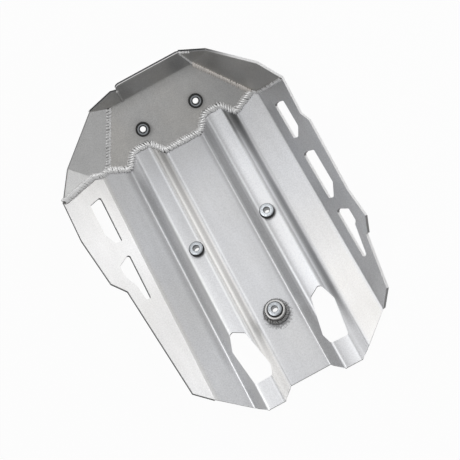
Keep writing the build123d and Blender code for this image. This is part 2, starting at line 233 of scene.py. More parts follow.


# %% [markdown]
# ## Marks of the press, with painted highlights and shade
# A press brake folds the sheet between a punch and a die. It burnishes the folds and leaves dull
# dips beside them, so the plate is striped lengthwise. The stripes also carry painted light: the
# brightest tones along the folds and on the right rib's top are painted highlights, and the dark
# outer wall of the right rib is painted shade. The stripes could be many masks added together. A
# colour ramp, read by the distance from the centre line, is easier to adjust against a photo. It
# holds 32 stops at most, so each half has its own, and the two tones are multiplied. The marks
# grow faint towards the rear of the plate.

# %% Marks of the press
# Each mark is (mm from the centre line, tone), and a tone of 1 is the plain sheet.
# Tones well above 1 are painted highlights.
LEFT_MARKS_AND_LIGHT = [
    (0, 1.0), (23, 0.96),  # centre flat
    (25.2, 0.98), (27, 1.27), (28, 1.2), (29.6, 0.88), (32, 0.9),  # foot of the rib
    (34, 0.62), (37.5, 0.66), (40.7, 1.08), (43.5, 0.6),  # inner wall, between dull dips
    (45.6, 1.2), (48.2, 1.27), (50, 0.9), (57, 0.91), (65.5, 0.98),  # inner edge and the top
    (68.5, 1.27), (74, 1.27), (76, 1.1), (82, 0.98),  # outer edge and wall
    (85, 1.25), (88, 0.82), (90, 0.76), (97, 1.0),  # outer foot, then the outer flat
]
RIGHT_MARKS_AND_LIGHT = [
    (0, 1.0), (22, 0.94),  # centre flat
    (27, 0.7), (28.4, 0.9), (29.4, 1.27), (31.5, 1.27), (33, 1.0),  # foot of the rib
    (40, 1.0), (41.5, 1.27), (45.6, 1.2), (48.4, 0.86),  # inner wall and edge
    (52.5, 1.12), (57, 1.24), (68, 1.27),  # top
    (70.8, 0.68), (72.2, 0.7), (74.2, 1.0),  # outer edge
    # The outer wall of the right rib is painted dark here as shade.
    (77.3, 0.54), (80.5, 0.36), (83.2, 0.44),  # outer wall, dull all the way down
    (85.6, 0.93), (88.2, 0.95), (89.6, 1.12), (122, 1.12), (124.5, 1.04),  # outer flat
]
MARKS_REACH, TONE_TOP = 130, 1.27
MARKS_FADE, FAINT_MARKS = (-65 * MM, -5 * MM), 0.25


def half_marks_and_light(distance, marks):
    """Tone of one half's press marks and painted light, by distance from the centre line."""
    stops = [(mm / MARKS_REACH, tone / TONE_TOP) for mm, tone in marks]
    share = distance * (1 / (MARKS_REACH * MM))
    return distance.node("ShaderNodeValToRGB", {"stops": stops}, {"Fac": share}) * TONE_TOP


def press_marks_and_light(at):
    """Tone from the press marks and painted light of both halves. They fade out behind."""
    x = coordinate(at, "X")
    tone = half_marks_and_light(x * -1, LEFT_MARKS_AND_LIGHT) * half_marks_and_light(x, RIGHT_MARKS_AND_LIGHT)
    kept = between(coordinate(at, "Y"), *MARKS_FADE) * (1 - FAINT_MARKS) + FAINT_MARKS
    return (tone - 1) * kept + 1


print(len(LEFT_MARKS_AND_LIGHT), "marks on the left and", len(RIGHT_MARKS_AND_LIGHT), "on the right")

# %% [markdown]
# ## Darker round the rear boss
# The sheet is darker round the rear boss, more so behind it. A painted mask would do. Here the
# dark patch is a disc whose radius is made ragged by noise, so that it has no drawn edge.

# %% Darkening round the rear boss
DARKENING_REACH, DARKENING_CORE = 22 * MM, 0.72
DARKENING_BEHIND = 4 * MM


def boss_darkening(at):
    """Darker round the rear boss, more so behind it."""
    x = coordinate(at, "X")
    y = coordinate(at, "Y") + DARKENING_BEHIND
    ragged = (noise(at, 420, 5, 0.7) - 0.5) * DARKENING_REACH
    radius = at.maths("SQRT", x * x + y * y) + ragged
    return 1 - between(radius, DARKENING_CORE * DARKENING_REACH, DARKENING_REACH)


# %% [markdown]
# ## Painted highlights and shade
# The rear of the left half and the left rib are painted brighter than the rest as highlights, and
# the nose is painted darker on its flange and to the right as shade. Such broad changes could be
# painted by hand. Soft steps along X, Y and Z give them in a line or two each. A pair of lengths
# is where a change begins and where it is complete.

# %% Painted highlight on the left half and painted shade on the nose
TAIL_SIDE, TAIL_REACH = (60 * MM, 85 * MM), (-60 * MM, 60 * MM)
RIB_FROM, RIB_TO, RIB_FADE = (26 * MM, 32 * MM), (70 * MM, 85 * MM), (60 * MM, 190 * MM)
FLANGE_RISE, FLANGE_LOSS = (40 * MM, 55 * MM), 0.3
NOSE_RIGHT, RIGHT_LOSS = (20 * MM, 100 * MM), 0.14


def painted_tail_highlight(at):
    """Share of painted highlight on the left half's tail."""
    x, y = coordinate(at, "X"), coordinate(at, "Y")
    return between(x * -1, *TAIL_SIDE) * between(y * -1, *TAIL_REACH)


def painted_left_rib_highlight(at):
    """Share of painted highlight on the left rib, which is brighter behind the middle."""
    x, y = coordinate(at, "X"), coordinate(at, "Y")
    rib = between(x * -1, *RIB_FROM) * (1 - between(x * -1, *RIB_TO))
    return rib * (1 - between(y, *RIB_FADE))


def painted_nose_shade(at):
    """Tone of the nose, with painted shade on its flange and to the right."""
    x, z = coordinate(at, "X"), coordinate(at, "Z")
    return 1 - between(z, *FLANGE_RISE) * FLANGE_LOSS - between(x, *NOSE_RIGHT) * RIGHT_LOSS


# %% [markdown]
# ## Tone and warmth of the pressed sheet
# The tone of the main plate brings the marks, the painted light and the darkening round the boss
# together. It grows darker towards the seam, less so on the outer flats, and a narrow painted
# highlight runs along the left fold. Its colour is cool, and warmer on the left wall, on a flank
# of the left rib and on the rear of the right flat. Such shares could be painted. As sums they
# can be changed one by one.

# %% Tone of the pressed sheet
SEAM_APPROACH, OUTER_FLATS = (180 * MM, 285 * MM), (85 * MM, 95 * MM)
SEAM_LOSS, SPARED_OUTSIDE, DARKENING_LOSS = 0.19, 0.11, 0.6
LEFT_FOLD, GLINT_SPAN = -125.5 * MM, (0.8 * MM, 2.2 * MM)
GLINT_GAIN, TAIL_GAIN, RIB_GAIN = 0.15, 0.18, 0.17


def pressed_tone(at):
    """Tone of the main plate: its marks, painted light, and darkening at the boss and seam."""
    x, y = coordinate(at, "X"), coordinate(at, "Y")
    outside = between(at.maths("ABSOLUTE", x), *OUTER_FLATS)
    # The sheet grows darker towards the seam, less so on the outer flats.
    seam_darkening = between(y, *SEAM_APPROACH) * (SEAM_LOSS - outside * SPARED_OUTSIDE)
    tone = press_marks_and_light(at) * (1 - boss_darkening(at) * DARKENING_LOSS) * (1 - seam_darkening)
    # A painted highlight along the left fold.
    tone = tone * (near(x, LEFT_FOLD, *GLINT_SPAN) * GLINT_GAIN + 1)
    return tone * (painted_tail_highlight(at) * TAIL_GAIN + 1) * (painted_left_rib_highlight(at) * RIB_GAIN + 1)


# %% Warmth of the pressed sheet
LEFT_WALL_FROM, RIB_FLANK, FLANK_SPAN = (118 * MM, 125 * MM), -38 * MM, (5 * MM, 10 * MM)
RIGHT_FLAT_FROM, RIGHT_FLAT_TO, REAR_FADE = (85 * MM, 92 * MM), (121 * MM, 125 * MM), (0, 170 * MM)
WALL_WARMTH, FLANK_WARMTH, FLAT_WARMTH = 0.4, 0.6, 0.55
CLOUD_WARMTH, LEAST_WARMTH = 0.8, 0.12


def pressed_warmth(at, clouds):
    """Share of warm tint: on the left wall, a flank of the left rib and the right flat."""
    x, y = coordinate(at, "X"), coordinate(at, "Y")
    left_wall = between(x * -1, *LEFT_WALL_FROM) * WALL_WARMTH
    flank = near(x, RIB_FLANK, *FLANK_SPAN) * FLANK_WARMTH
    right_flat = between(x, *RIGHT_FLAT_FROM) * (1 - between(x, *RIGHT_FLAT_TO)) * FLAT_WARMTH
    rear_right = right_flat * (1 - between(y, *REAR_FADE))
    return left_wall + flank + rear_right + (clouds - 0.5) * CLOUD_WARMTH + LEAST_WARMTH


# %% [markdown]
# ## The lean of the right rib
# The top of the right rib grows brighter towards its outer edge, as if the press had bowed it up
# there by a millimetre or two. A lighter colour would look the same from every side, and a
# highlight doesn't. So the bow is a height that the bumps of the finish start from: the shape
# stays as it is, and the light plays on the bow as on a real one.

# %% Lean of the right rib
LEAN_FROM, LEAN_TO = 50 * MM, 69.5 * MM
LEAN_GROWTH = 4.4


def rib_lean(at):
    """Slight rise of the right rib's top towards its outer edge, as a height in metres."""
    along = at.maths("MAXIMUM", coordinate(at, "X") - LEAN_FROM, 0.0)
    along = at.maths("MINIMUM", along, LEAN_TO - LEAN_FROM)
    return along * along * LEAN_GROWTH


print("the lean adds", round((LEAN_TO - LEAN_FROM) ** 2 * LEAN_GROWTH / MM, 2), "mm")

# %% [markdown]
# ## The aluminium
# Plate stock has a satin mill finish, dulled by fine blasting after welding. Its grain is about
# a millimetre and shows as a soft sparkle. Larger clouds come from handling, streaks run along
# the sheet as it was rolled, and so do a few fine scratches. An image texture would repeat and
# blur. Noise gives all of it at its true size. The same grain feeds colour, roughness and bumps,
# because one flaw on real metal changes all three.

# %% Finish of the sheets
# Features per metre. The turn comes after the stretch, so it only picks other scratches.
CLOUDS, GRAIN, FINE_GRAIN = 9, 620, 1900
STREAKS, SCRATCHES, SCRATCH_TURN = (90, 14, 90), (900, 14, 900), (0, 0, 0.35)
COOL = (0.98, 0.992, 1.022)
NEUTRAL = (1.0, 1.0, 0.995)
WARM = (1.01, 0.99, 0.955)


def sheet_finish(name, tone, rough, tints, shade=None, pressed=False):
    """Satin aluminium: clouds, streaks along the sheet, blasted grain and fine scratches.

    The shade is a function that gives the tone at each place.
    """
    material, at = new_finish(name)
    clouds = noise(at, CLOUDS, 4)
    streaks = noise(stretched(at, STREAKS), 1, 3)
    grain = noise(at, GRAIN, 2)
    fine = noise(at, FINE_GRAIN, 1)
    lines = between(noise(stretched(at, SCRATCHES, SCRATCH_TURN), 1, 2), 0.68, 0.76)

    speckle = 0.7 + grain * 0.44 + streaks * 0.16
    if shade:
        speckle = at.maths("MINIMUM", speckle * shade(at), 1 / tone)
    speckled = at.node("ShaderNodeCombineColor", sockets={0: speckle, 1: speckle, 2: speckle})
    warm = pressed_warmth(at, clouds) if pressed else between(clouds, 0.35, 0.65)
    tint = blend(warm, grey(tone, tints[0]), grey(tone, tints[1]))
    colour = blend(1.0, tint, speckled, "MULTIPLY")

    shine = rough + (clouds - 0.5) * 0.1 + (grain - 0.5) * 0.2 - lines * 0.05
    lean = bumps(rib_lean(at), 1.0, 1.0) if pressed else None
    bump = bumps(grain * 0.6 + fine * 0.4 - lines * 0.3, 0.1, over=lean)
    feed(material, Base_Color=colour, Roughness=shine, Metallic=1.0, Normal=bump)
    return material


pressed_sheet = sheet_finish(
    "pressed_aluminium", 0.78, 0.40, (COOL, WARM), pressed_tone, pressed=True
)
nose_sheet = sheet_finish("nose_aluminium", 0.78, 0.41, (NEUTRAL, WARM), painted_nose_shade)
cheek_sheet = sheet_finish("cheek_aluminium", 0.80, 0.41, (NEUTRAL, NEUTRAL))
# A darker copy of the cheek's finish, as painted shade on the right cheek and the steep left flap.
painted_shade_cheek_sheet = sheet_finish("painted_shade_cheek_aluminium", 0.56, 0.41, (NEUTRAL, WARM))

# %% [markdown]
# ## The cut edges
# The sheets were cut by a machine that leaves fine upright stripes. Their cut faces are painted
# almost black as shade, and bright as light on the right side wall, and the lip nearest the
# engine is a painted highlight. A painted map could hold all this. Here a depth is kept at each
# corner of the mesh, 0 at the engine's side and 1 at the road's, and the finish reads it to find
# the lip.

# %% Finish of the cut edges
EDGE_SHADE, EDGE_HIGHLIGHT = 0.04, 0.97
CUTTER_STRIPES = (1400, 1400, 60)
LIP_DEPTH, RIGHT_SIDE = (0.3, 0.5), (80 * MM, 125 * MM)


def cut_edge_finish(name, lip_share, right_tone=1.0):
    """Matt cutter stripes, painted dark as shade. The lip's share sets its painted highlight."""
    material, at = new_finish(name)
    stripes = noise(stretched(at, CUTTER_STRIPES), 1, 2)
    depth = at.node("ShaderNodeAttribute", {"attribute_name": "depth"}, out="Fac")
    lip = (1 - between(depth, *LIP_DEPTH)) * lip_share
    on_the_right = between(coordinate(at, "X"), *RIGHT_SIDE)
    # Painted shade on the cut faces, a painted highlight on the lip, and painted light on the
    # right.
    colour = blend(on_the_right, blend(lip, grey(EDGE_SHADE, COOL), grey(EDGE_HIGHLIGHT)), grey(right_tone))
    bump = bumps(stripes, 0.2)
    feed(material, Base_Color=colour, Roughness=0.4 + stripes * 0.2, Metallic=0.2, Normal=bump)
    return material


# Cut edges painted dark as shade, and bright as light on the right side wall.
cut_edge = cut_edge_finish("cut_edge_aluminium", 0.25)
# The nose's cut edges carry a full painted highlight on their lip.
highlight_edge = cut_edge_finish("painted_highlight_edge_aluminium", 1.0)
# Cut faces that look back on the right wall are painted dark as shade there too.
shaded_edge = cut_edge_finish("painted_shade_edge_aluminium", 0.25, 0.27)

# %% [markdown]
# ## New pieces
# A piece made here replaces a solid and rides with the plate. Its object stays at the origin and
# its place is in its mesh, so a pattern in Object coordinates is in the same millimetres on every
# piece. One function makes each piece and has it ride with the plate.

# %% New pieces
def new_piece(name, bm, slot, *finishes):
    """Turn a bmesh into an object that rides with the plate."""
    mesh = bpy.data.meshes.new(name)
    bm.to_mesh(mesh)
    bm.free()
    piece = bpy.data.objects.new(name, mesh)
    bpy.context.collection.objects.link(piece)
    for finish in finishes:
        mesh.materials.append(finish)
    mesh.shade_smooth()
    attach(piece, "root")
    print(name, len(mesh.polygons), "faces")
    return piece


# %% [markdown]
# ## Which faces were cut
# The broad faces of a sheet and the faces cut through it look different, so they need different
# finishes. They could be picked by hand, but then a new size would lose them. A ray sent inwards
# tells them apart: from a broad face it leaves after one thickness, and from a cut face it
# travels far through the sheet. A few faces get a third finish: cut ones that look back on the
# right wall, which are painted dark as shade, and the steep flap of the left cheek, which is
# painted darker as shade.

# %% Which faces were cut
ENGINE = Vector((0, 150, 300)) * MM
RAY_START = 0.01 * MM
THROUGH = 1.4 * SHEET
BROAD, CUT, THIRD = 0, 1, 2
SHELTERED_TURN, SHELTERED_FROM = -0.3, 125 * MM
STEEP = 0.4


def mark_cut_faces(bm):
    """Give faces cut through the sheet the second finish, and every corner a depth.

    The depth is 0 on the side that faces the engine and 1 on the side that faces the road.
    """
    tree = BVHTree.FromBMesh(bm)
    for face in bm.faces:
        inward = -face.normal
        run = tree.ray_cast(face.calc_center_median() + inward * RAY_START, inward)[3]
        face.material_index = CUT if run is None or run > THROUGH else BROAD
    depth = bm.verts.layers.float.new("depth")
    for corner in bm.verts:
        broad = [f.normal for f in corner.link_faces if f.material_index == BROAD]
        faces_engine = any(normal.dot(ENGINE - corner.co) > 0 for normal in broad)
        corner[depth] = 0.0 if faces_engine else 1.0


def lies_in_shelter(face):
    """Whether a face is a cut face of the right side wall that looks back."""
    outside = face.calc_center_median().x > SHELTERED_FROM
    return face.material_index == CUT and outside and face.normal.y < SHELTERED_TURN


def is_steep(face):
    """Whether a broad face stands nearly upright, as a flap's does."""
    return face.material_index == BROAD and abs(face.normal.z) < STEEP


# %% [markdown]
# ## Dressing the sheets
# A maker breaks sharp edges with a file, and light catches the narrow flats that it leaves. The
# solids have no such flats. A bevel in the shader would only fake them, so each sheet becomes a
# copy of its solid with its sharp edges bevelled by half a millimetre. The copy arrives as loose
# triangles: they are merged, and flat ones are joined, before the bevel runs along their edges.
# Weighted normals keep the large panels flat in the light.

# %% Dressed copies of the sheets
EDGE_BREAK, EDGE_STEPS = 0.5 * MM, 2
SHARP = radians(18)
FLAT_ENOUGH = radians(0.5)
SAME_SPOT = 0.001 * MM
LARGE_FACES_RULE = 100


def dressed(node, finish, edge=cut_edge, third=None, picks=None):
    """A sheet with its edges broken, in place of its solid. Picked faces get the third finish."""
    bm = bmesh.new()
    bm.from_mesh(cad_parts[node].data)
    bmesh.ops.remove_doubles(bm, verts=bm.verts, dist=SAME_SPOT)
    mark_cut_faces(bm)
    for face in bm.faces:
        if picks and picks(face):
            face.material_index = THIRD
    bmesh.ops.dissolve_limit(
        bm, angle_limit=FLAT_ENOUGH, verts=bm.verts, edges=bm.edges, delimit={"MATERIAL"}
    )
    sharp = [e for e in bm.edges if e.is_manifold and e.calc_face_angle() > SHARP]
    bmesh.ops.bevel(
        bm, geom=sharp, offset=EDGE_BREAK, segments=EDGE_STEPS, profile=0.5,
        affect="EDGES", clamp_overlap=True, material=-1,
    )
    finishes = [finish, edge, third] if third else [finish, edge]
    sheet = new_piece(node + "_sheet", bm, "aluminium_sheet", *finishes)
    evened = sheet.modifiers.new("evened", "WEIGHTED_NORMAL")
    evened.weight = LARGE_FACES_RULE
    evened.keep_sharp = True
    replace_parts(sheet, node)


dressed("main_plate", pressed_sheet, third=shaded_edge, picks=lies_in_shelter)
dressed("nose_plate", nose_sheet, highlight_edge)
# The left cheek's steep flap and the whole right cheek take the darker copy as painted shade.
dressed("left_cheek", cheek_sheet, third=painted_shade_cheek_sheet, picks=is_steep)
dressed("right_cheek", painted_shade_cheek_sheet)

# %% [markdown]
# ## The weld metal
# Fresh weld metal is bright on the crests of its ripples. The dips between them are darkened,
# partly as soot and partly as painted shade. The crests could be found from the curvature of the
# mesh, but puddles of few faces make that coarse. Each puddle knows its own middle and ends when
# it is made, so it keeps them as a dip at its corners. One bead took on a straw tint from the
# heat, and the ring round the rear boss is painted dark as shade.

# %% Finish of the weld metal
def weld_finish(name, crest, soot_and_shade_tone, tint=(1, 1, 1)):
    """Bright ripple crests, with dips darkened partly as soot and partly as painted shade."""
    material, at = new_finish(name)
    dip = at.node("ShaderNodeAttribute", {"attribute_name": "dip"}, out="Fac")
    blotch = noise(at, 180, 3)
    skin = noise(at, 2600, 2)
    # The dips are darkened, partly as soot and partly as painted shade.
    soot_and_shade = between(dip + (blotch - 0.5) * 0.9, 0.45, 0.95)
    colour = blend(soot_and_shade, grey(crest, tint), grey(soot_and_shade_tone, WARM))
    shine = 0.34 + soot_and_shade * 0.2 + (skin - 0.5) * 0.2
    bump = bumps(skin, 0.25, 2 * FINE_BUMP)
    feed(material, Base_Color=colour, Roughness=shine, Metallic=0.6, Normal=bump)
    return material


weld_metal = weld_finish("weld_metal", 0.99, 0.18)
straw_weld = weld_finish("straw_weld_metal", 0.95, 0.5, (1.0, 0.95, 0.9))
# Weld metal painted dark as shade, for the ring at the foot of the boss tube.
shaded_weld = weld_finish("painted_shade_weld_metal", 0.42, 0.16)

# %% [markdown]
# ## How the panels face
# A bead lies in the corner between two sheets and looks away from both, so each bead needs to
# know how its two panels face. The directions could be read from the meshes by a search. The
# panels are few and flat, so each is written as a fold's maker would: the bearing that it turns
# to and its tilt from level.

# %% How the panels face
NOSE_SLOPE = 30


def facing(bearing, tilt):
    """Direction a panel's inner face looks in, from its bearing and tilt in degrees."""
    b, t = radians(bearing), radians(tilt)
    return Vector((sin(b) * sin(t), -cos(b) * sin(t), cos(t)))


FLAT, NOSE, FRONT_FLANGE = facing(0, 0), facing(0, NOSE_SLOPE), facing(0, 80)
LEFT_FLAT, RIGHT_FLAT = facing(90, 13), facing(-90, 13)
LEFT_WALL, RIGHT_WALL = facing(90, 30), facing(-90, 55)
FLANK_TO_RIGHT, FLANK_TO_LEFT = facing(90, 32.8), facing(-90, 32.8)
LEFT_CHEEK, LEFT_CORNER = facing(26.7, 44), facing(63.8, 41)
RIGHT_CHEEK, RIGHT_FLAP = facing(-44.7, 79.7), facing(-29, 90)

# %% [markdown]
# ## Where the beads run
# The welder follows the joints, so a bead's line is the line where two sheets meet. Each line is
# written by its corners, as a drawing would give them. The feet and tops of the cheeks are named
# once, because several beads meet there. The seam climbs over both ribs, and both ribs take the
# same four corners, mirrored.

# %% Corners that the beads run through
def place(x, y, z):
    """A spot on the plate, given in millimetres."""
    return Vector((x, y, z)) * MM


LEFT_FOOT, RIGHT_FOOT = place(-115.0, 298.8, 10.8), place(120.0, 300.8, 12.0)
LEFT_TOP, RIGHT_TOP = place(-70.9, 365.8, 49.5), place(64.0, 365.8, 49.5)
SEAM_ON_FLAT, SEAM_ON_RIB = 287.0, 304.3
FLAT_TOP, RIB_TOP = 4, 14


def rib_corners(side):
    """The seam's corners over one rib, from the outside in."""
    return [
        place(side * 85.5, SEAM_ON_FLAT, FLAT_TOP),
        place(side * 70, SEAM_ON_RIB, RIB_TOP),
        place(side * 45, SEAM_ON_RIB, RIB_TOP),
        place(side * 29.5, SEAM_ON_FLAT, FLAT_TOP),
    ]


seam_line = [LEFT_FOOT] + rib_corners(-1) + rib_corners(1)[::-1] + [RIGHT_FOOT]
over_rib = [FLANK_TO_LEFT, FLAT, FLANK_TO_RIGHT]
below_seam = [LEFT_FLAT] + over_rib + [FLAT] + over_rib + [RIGHT_FLAT]
seam_length = sum((b - a).length for a, b in zip(seam_line, seam_line[1:]))
print("seam", round(seam_length / MM), "mm")

# %% [markdown]
# ## Steps along a joint
# A hand moves the torch in even steps and rounds each corner. A curve object could carry the
# bead, but a bead also has to turn with the sheets beside it. So this walk gives, for each step,
# the spot, the heading and the way the bead looks. Each is the mean of five looks along the
# line, which eases the corners.

# %% Steps along a joint
LOOKS = (-1, -0.5, 0, 0.5, 1)
ROUNDING = 1e-9


def walk(corners, faces, pitch, ease):
    """Even steps along a joint, as (spot, heading, face), with its corners eased."""
    runs = [(b - a).length for a, b in zip(corners, corners[1:])]
    total = sum(runs)

    def reached(distance):
        """Spot and face after a distance along the joint."""
        distance = min(max(distance, 0), total)
        for start, end, run, face in zip(corners, corners[1:], runs, faces):
            if distance <= run + ROUNDING:
                return start.lerp(end, distance / run), face
            distance -= run
        return corners[-1], faces[-1]

    steps = max(1, round(total / pitch))
    for i in range(steps):
        middle = (i + 0.5) * total / steps
        looks = [reached(middle + ease * share) for share in LOOKS]
        spot = sum((p for p, _ in looks), Vector()) / len(looks)
        face = sum((f for _, f in looks), Vector()).normalized()
        yield spot, (looks[-1][0] - looks[0][0]).normalized(), face


# %% [markdown]
# ## The weld beads
# A hand-laid bead is a row of overlapping puddles, like a stack of coins pushed over. It could
# be a swept tube with a bumpy finish, but its outline would stay straight. Here each puddle is a
# flattened ball of a few dozen faces, set across the joint, turned and tipped a little, and no
# two are alike: a seeded source of chance varies width, place and turn the same way each time.
# In a closed corner the puddles are lifted, more so the sharper the corner.

# %% Beads
PUDDLE = {"u_segments": 10, "v_segments": 6, "radius": 1}
PUDDLE_LENGTH = 0.72
PUDDLE_YAW, PUDDLE_TIP = 28, -14
WIDTH_VARIES, SLIDE_VARIES, YAW_VARIES = (0.9, 1.08), 0.14, 7
CORNER_LIFT = 0.75
chance = random.Random(7)


def puddle_place(spot, along, face, half_width, pitch, height, shift, opening):
    """Where one puddle lies, and how it is turned and sized. Lengths are in millimetres."""
    wide = half_width * MM * chance.uniform(*WIDTH_VARIES)
    across = face.cross(along).normalized()
    face = along.cross(across)
    slide = along * pitch * MM * chance.uniform(-SLIDE_VARIES, SLIDE_VARIES) + across * shift * MM
    turned = PUDDLE_YAW + chance.uniform(-YAW_VARIES, YAW_VARIES)
    yaw = Matrix.Rotation(radians(turned), 4, "Z")
    tip = Matrix.Rotation(radians(PUDDLE_TIP), 4, "Y")
    size = Matrix.Diagonal((PUDDLE_LENGTH * pitch * MM, wide, height * MM, 1))
    stand = Matrix((along, across, face)).transposed().to_4x4()
    lift = CORNER_LIFT * wide * opening
    return Matrix.Translation(spot + face * lift + slide) @ stand @ yaw @ tip @ size


def weld_bead(
    node, joints, half_width, pitch, height=2.0, shift=0.0, ease=3.0, finish=weld_metal
):
    """Overlapping puddles along joints, in place of the plain bead. Lengths are in mm.

    A joint is its corners, and how the panels below and above it face along each run.
    """
    bm = bmesh.new()
    dip = bm.verts.layers.float.new("dip")
    for corners, below, above in joints:
        faces = [(a + b).normalized() for a, b in zip(below, above)]
        openings = [(a - b).length / (a + b).length for a, b in zip(below, above)]
        opening = sum(openings) / len(openings)
        for spot, along, face in walk(corners, faces, pitch * MM, ease * MM):
            where = puddle_place(spot, along, face, half_width, pitch, height, shift, opening)
            puddle = bmesh.ops.create_uvsphere(bm, **PUDDLE)["verts"]
            for corner in puddle:
                corner[dip] = abs(corner.co.x)
            bmesh.ops.transform(bm, matrix=where, verts=puddle)
    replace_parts(new_piece(node + "_bead", bm, "weld_metal", finish), node)


# %% [markdown]
# ## Seam and cheeks
# The widest bead joins the pressed sheet to the nose, and its middle lies a little towards the
# nose. Two narrower ones hold the cheeks to the nose, and the right one is straw-coloured. One
# helper lays them all, so each is a line of corners, its panels and a few sizes.

# %% Beads of the nose
seam = (seam_line, below_seam, [NOSE] * len(below_seam))
weld_bead("nose_seam_weld", [seam], half_width=6.5, pitch=3.5, height=2.7, shift=1.3, ease=5.0)
left_joint = ([LEFT_FOOT, LEFT_TOP], [NOSE], [LEFT_CHEEK])
weld_bead("left_cheek_weld", [left_joint], half_width=4.6, pitch=4.2, height=1.3)
right_joint = ([RIGHT_FOOT, RIGHT_TOP], [NOSE], [RIGHT_CHEEK])
weld_bead("right_cheek_weld", [right_joint], half_width=4.4, pitch=3.0, finish=straw_weld)

# %% [markdown]
# ## Beads along the side walls
# From the foot of each cheek a bead climbs to the rim between the cheek and the side wall. It
# crosses the fold between the outer flat and the wall, and the left one turns once more where
# the cheek does. So each is a line of a few corners, with the panels on its two sides.

# %% Beads along the side walls
LEFT_FOLD_END, RIGHT_FOLD_END = place(-126.5, 296.1, 13.5), place(126.5, 294.7, 13.5)
CHEEK_TURN = place(-137, 297.8, 19.6)
LEFT_RIM, RIGHT_RIM = place(-187.2, 271.4, 48.5), place(160.5, 273.5, 62.0)

left_rise = [LEFT_FOOT, LEFT_FOLD_END, CHEEK_TURN, LEFT_RIM]
left_panels = [LEFT_FLAT, LEFT_WALL, LEFT_WALL], [LEFT_CHEEK, LEFT_CHEEK, LEFT_CORNER]
weld_bead("left_wall_weld", [(left_rise, *left_panels)], half_width=6.2, pitch=2.2, height=2.6)
right_rise = [RIGHT_FOOT, RIGHT_FOLD_END, RIGHT_RIM]
right_panels = [RIGHT_FLAT, RIGHT_WALL], [RIGHT_CHEEK, RIGHT_CHEEK]
weld_bead("right_wall_weld", [(right_rise, *right_panels)], half_width=3.2, pitch=2.2, height=1.1)

# %% [markdown]
# ## Joint of the flange and the right flap
# The front flange meets the right flap in an upright joint, and its short bead runs on along the
# rim. Both stretches belong to one piece, because the welder lays them in one go.

# %% Joint of the flange and the right flap
RIM_BEAD = [place(52.3, 372.1, 85.6), place(66.3, 364.4, 85.6)]
upright = ([RIGHT_TOP, RIM_BEAD[0]], [FRONT_FLANGE], [RIGHT_FLAP])
on_the_rim = (RIM_BEAD, [FLAT], [FLAT])
weld_bead("right_flange_weld", [upright, on_the_rim], half_width=1.8, pitch=2.4, height=1.8)

# %% [markdown]
# ## Ring round the rear boss
# A fillet bead closes the foot of the boss tube. It is the same walk round a ring of corners,
# between the flat sheet and the tube's wall, which faces outwards.

# %% Ring round the rear boss
TUBE, TUBE_BORE = 13.5, 11
RING_RADIUS, RING_HEIGHT, RING_SIDES = TUBE + 1.2, 5, 24

ring_angles = [2 * pi * i / RING_SIDES for i in range(RING_SIDES + 1)]
ring = [place(RING_RADIUS * cos(a), RING_RADIUS * sin(a), RING_HEIGHT) for a in ring_angles]
ring_middle = place(0, 0, RING_HEIGHT)
outwards = [((p + q) / 2 - ring_middle).normalized() for p, q in zip(ring, ring[1:])]
boss_joint = (ring, [FLAT] * RING_SIDES, outwards)
# The ring's finish is painted dark as shade at the foot of the tube.
weld_bead(
    "rear_boss_weld", [boss_joint], half_width=3.0, pitch=2.4, height=1.6, finish=shaded_weld
)

# %% [markdown]
# ## The steel of the sleeves
# Each bolt passes through a flanged steel sleeve in a moulded rubber bush. The sleeves are turned
# on a lathe, which leaves fine rings, and zinc plated, which turns patchy with use. Rings need
# the distance from the sleeve's own axis, so each sleeve has a finish that is centred on it and
# tilted with it. The bore is darker, since little light gets in.

# %% Finish of the steel sleeves
ZINC = (0.93, 0.98, 1.03)
LATHE_PITCH = 0.7 * MM
BORE_TONE = 0.12


def axis_distance(at, spot, tilt):
    """Distance from a bush's axis, as a signal in metres."""
    centred = at.node("ShaderNodeVectorMath", {"operation": "SUBTRACT"}, {0: at, 1: spot})
    turned = stretched(centred, (1, 1, 1), (-tilt, 0, 0))
    x, y = coordinate(turned, "X"), coordinate(turned, "Y")
    return at.maths("SQRT", x * x + y * y)


def steel_finish(name, spot, tilt, dark_to, bright):
    """Zinc plated steel with the rings that the lathe left, dark inside a radius."""
    material, at = new_finish(name)
    radius = axis_distance(at, spot, tilt)
    rings = at.maths("SINE", radius * (2 * pi / LATHE_PITCH))
    dull = noise(at, 700, 3)
    plated = blend(between(dull, 0.35, 0.7), grey(bright, ZINC), grey(0.7 * bright, ZINC))
    colour = blend(between(radius, dark_to, 1.08 * dark_to), grey(BORE_TONE, ZINC), plated)
    shine = 0.22 + dull * 0.16 + rings * 0.03
    bump = bumps(rings * 0.6 + dull * 0.8, 0.15)
    feed(material, Base_Color=colour, Roughness=shine, Metallic=1.0, Normal=bump)
    return material


# %% [markdown]
# ## The rubber
# The bushes are moulded from black rubber. Plain black would look like a hole, and real rubber is
# a very dark grey that dust lightens in patches. Where the dust lies it is also duller.

# %% Finish of the rubber
RUBBER, DUSTY_RUBBER = 0.022, 0.05


def rubber_finish(name):
    """Moulded black rubber with a little dust."""
    material, at = new_finish(name)
    dust = between(noise(at, 260, 4), 0.45, 0.75)
    colour = blend(dust, grey(RUBBER), grey(DUSTY_RUBBER, WARM))
    bump = bumps(noise(at, 3000, 2), 0.2)
    feed(material, Base_Color=colour, Roughness=0.6 + dust * 0.2, Normal=bump)
    return material


black_rubber = rubber_finish("black_rubber")

# %% [markdown]
# ## Spinning a ring
# Bushes, sleeves and the boss tube are all round, so each is spun from its half section, as a
# lathe or a round mould would make it. Stacked cylinders would leave hidden walls inside, and a
# spin leaves one closed skin. After the spin its seam is merged, its normals are made to look
# outwards, and its rims are broken by a quarter of a millimetre.

# %% Spinning a ring from its section
RIM_BREAK = 0.25 * MM
SPIN_STEPS = 64
RIM_ANGLE = radians(30)


